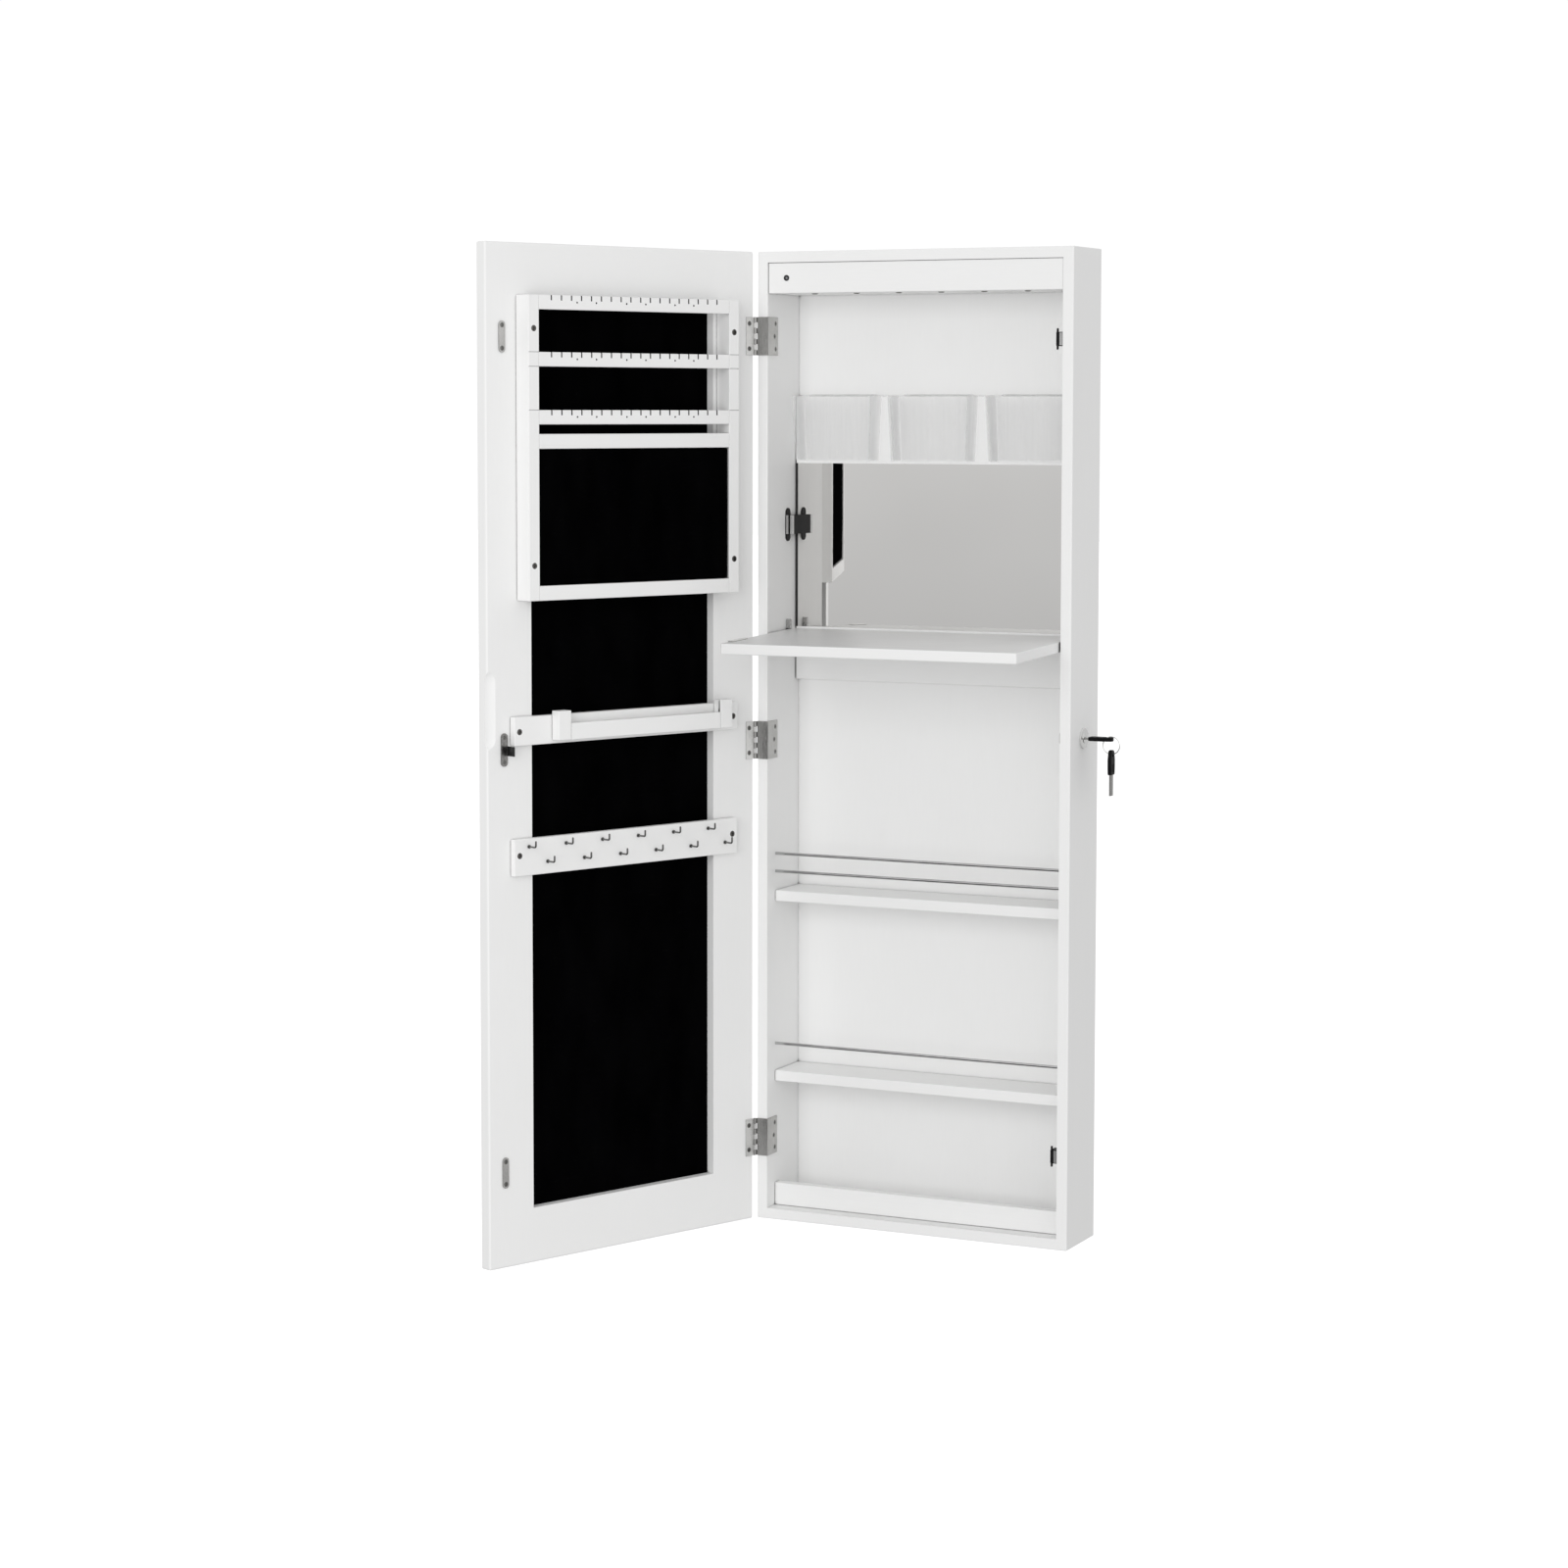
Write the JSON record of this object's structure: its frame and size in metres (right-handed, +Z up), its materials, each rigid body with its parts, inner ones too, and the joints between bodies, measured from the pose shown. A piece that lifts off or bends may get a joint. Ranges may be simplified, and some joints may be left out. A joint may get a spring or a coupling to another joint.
{
  "type": "jewelry armoire",
  "caption": "Shallow wall-hung cabinet with an outward mirrored side-hinged door, fold-down tray, shelves, rods, clear hanging boxes, hooks, lights and a cam lock",
  "frame": {"origin": "middle of the case's back face, which lies against the wall", "axes": "+X right seen from the front, -Y out of the wall towards the user, +Z up; millimetres in the STEP files"},
  "size_m": [0.5706, 0.4322, 1.08],
  "materials": {
    "case_screws": "satin nickel plated steel",
    "side_panel_left": "satin white paint on fibreboard",
    "side_panel_right": "satin white paint on fibreboard",
    "top_panel": "satin white paint on fibreboard",
    "bottom_panel": "satin white paint on fibreboard",
    "back_panel": "satin white paint on fibreboard",
    "hanging_rail": "satin white paint on fibreboard",
    "wall_hangers": "satin nickel plated steel",
    "bottom_lip": "satin white paint on fibreboard",
    "shelves": "satin white paint on fibreboard",
    "necklace_rods": "satin nickel plated steel",
    "mirror_board": "satin white paint on fibreboard",
    "makeup_mirror": "silvered glass",
    "led_fascia": "satin white paint on fibreboard",
    "led_soffit": "satin white paint on fibreboard",
    "led_board": "moulded plastic",
    "led_lamps": "clear lamp lens",
    "light_sensor": "black bezel with a grey lens",
    "battery_box": "moulded plastic",
    "battery_lid": "moulded plastic",
    "batteries": "cell jacket",
    "hinge_case_leaves": "satin nickel plated steel",
    "hinge_pins": "satin nickel plated steel",
    "magnetic_catches": "black moulded plastic",
    "catch_magnets": "steel pole plates of the magnets",
    "tray_stops": "dark steel peg",
    "lock_barrel": "bright nickel plate",
    "lock_nut": "zinc plated steel",
    "door_stile_hinge": "satin white paint on fibreboard",
    "door_stile_free": "satin white paint on fibreboard",
    "door_rails": "satin white paint on fibreboard",
    "door_mirror": "silvered glass",
    "velvet_board": "black velvet",
    "organiser_sides": "satin white paint on fibreboard",
    "earring_strips": "satin white paint on fibreboard",
    "pad_rails": "satin white paint on fibreboard",
    "stud_pad": "black velvet",
    "bracelet_board": "satin white paint on fibreboard",
    "bracelet_cradle": "satin white paint on fibreboard",
    "hook_board": "satin white paint on fibreboard",
    "necklace_hooks": "bright nickel plate",
    "hinge_door_leaves": "satin nickel plated steel",
    "door_screws": "satin nickel plated steel",
    "board_screws": "dark nickel and black oxide steel",
    "door_strikes": "satin nickel plated steel",
    "lock_strike": "dark nickel and black oxide steel",
    "bracelet_bar": "satin white paint on fibreboard",
    "tray_board": "satin white paint on fibreboard",
    "tray_pins": "satin nickel plated steel",
    "tray_strike": "satin nickel plated steel",
    "lock_plug": "bright nickel plate",
    "lock_cam": "zinc plated steel",
    "key_blade": "satin nickel plated steel",
    "key_bow": "black moulded plastic",
    "key_ring": "bright nickel plate",
    "spare_key_blade": "satin nickel plated steel",
    "spare_key_bow": "black moulded plastic",
    "box_left": "clear polystyrene",
    "box_middle": "clear polystyrene",
    "box_right": "clear polystyrene"
  },
  "bodies": {
    "case": {"case_screws": "case_screws", "side_panel_left": "side_panel_left", "side_panel_right": "side_panel_right", "top_panel": "top_panel", "bottom_panel": "bottom_panel", "back_panel": "back_panel", "hanging_rail": "hanging_rail", "wall_hangers": "wall_hangers", "bottom_lip": "bottom_lip", "shelves": "shelves", "necklace_rods": "necklace_rods", "mirror_board": "mirror_board", "makeup_mirror": "makeup_mirror", "led_fascia": "led_fascia", "led_soffit": "led_soffit", "led_board": "led_board", "led_lamps": "led_lamps", "light_sensor": "light_sensor", "battery_box": "battery_box", "battery_lid": "battery_lid", "batteries": "batteries", "hinge_case_leaves": "hinge_case_leaves", "hinge_pins": "hinge_pins", "magnetic_catches": "magnetic_catches", "catch_magnets": "catch_magnets", "tray_stops": "tray_stops", "lock_barrel": "lock_barrel", "lock_nut": "lock_nut"},
    "door": {"door_stile_hinge": "door_stile_hinge", "door_stile_free": "door_stile_free", "door_rails": "door_rails", "door_mirror": "door_mirror", "velvet_board": "velvet_board", "organiser_sides": "organiser_sides", "earring_strips": "earring_strips", "pad_rails": "pad_rails", "stud_pad": "stud_pad", "bracelet_board": "bracelet_board", "bracelet_cradle": "bracelet_cradle", "hook_board": "hook_board", "necklace_hooks": "necklace_hooks", "hinge_door_leaves": "hinge_door_leaves", "door_screws": "door_screws", "board_screws": "board_screws", "door_strikes": "door_strikes", "lock_strike": "lock_strike"},
    "bracelet_bar": {"bracelet_bar": "bracelet_bar"},
    "tray": {"tray_board": "tray_board", "tray_pins": "tray_pins", "tray_strike": "tray_strike"},
    "lock": {"lock_plug": "lock_plug", "lock_cam": "lock_cam"},
    "key": {"key_blade": "key_blade", "key_bow": "key_bow"},
    "key_ring": {"key_ring": "key_ring"},
    "spare_key": {"spare_key_blade": "spare_key_blade", "spare_key_bow": "spare_key_bow"},
    "box_left": {"box_left": "box_left"},
    "box_middle": {"box_middle": "box_middle"},
    "box_right": {"box_right": "box_right"}
  },
  "joints": [
    {"name": "door_swing", "type": "hinge", "parent": "case", "child": "door", "pos_m": [-0.1885, -0.0855, 0], "axis": [0, 0, -1], "range_deg": [-29, 58]},
    {"name": "tray_fold", "type": "hinge", "parent": "case", "child": "tray", "pos_m": [0, -0.0455, 0.115], "axis": [-1, 0, 0], "range_deg": [0, 92]},
    {"name": "lock_turn", "type": "hinge", "parent": "case", "child": "lock", "pos_m": [0.186, -0.0448, 0.0138], "axis": [-1, 0, 0], "range_deg": [0, 90]},
    {"name": "key_pull", "type": "slide", "parent": "lock", "child": "key", "axis": [1, 0, 0], "range_m": [0, 0.022]},
    {"name": "ring_swing", "type": "hinge", "parent": "key", "child": "key_ring", "pos_m": [0.211, -0.0448, 0.0138], "axis": [1, 0, 0], "range_deg": [-15, 15]},
    {"name": "spare_key_swing", "type": "hinge", "parent": "key_ring", "child": "spare_key", "pos_m": [0.2185, -0.0448, -0.0032], "axis": [1, 0, 0], "range_deg": [-25, 25]},
    {"name": "bracelet_bar_lift", "type": "slide", "parent": "door", "child": "bracelet_bar", "axis": [0, 0, 1], "range_m": [0, 0.034]},
    {"name": "box_left_lift", "type": "slide", "parent": "case", "child": "box_left", "axis": [0, 0, 1], "range_m": [0, 0.02]},
    {"name": "box_middle_lift", "type": "slide", "parent": "case", "child": "box_middle", "axis": [0, 0, 1], "range_m": [0, 0.02]},
    {"name": "box_right_lift", "type": "slide", "parent": "case", "child": "box_right", "axis": [0, 0, 1], "range_m": [0, 0.02]}
  ]
}
